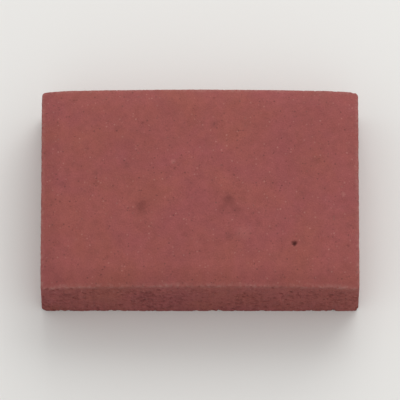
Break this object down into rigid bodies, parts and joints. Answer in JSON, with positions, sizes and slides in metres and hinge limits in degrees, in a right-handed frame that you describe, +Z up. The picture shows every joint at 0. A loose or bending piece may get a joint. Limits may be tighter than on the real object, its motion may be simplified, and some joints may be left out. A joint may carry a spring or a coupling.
{
  "type": "concrete paving stone",
  "caption": "Rectangular pressed concrete paving stone with a crowned upper face, rounded corners and a flat bed.",
  "frame": {"origin": "middle of the underside, on the bed that the stone is laid on", "axes": "+X along the course, +Y across the course, +Z up out of the crowned upper face"},
  "size_m": [0.238, 0.158, 0.0599],
  "materials": {
    "red_concrete": "matte"
  },
  "bodies": {
    "root": {"paving_stone": "red_concrete"}
  },
  "joints": []
}
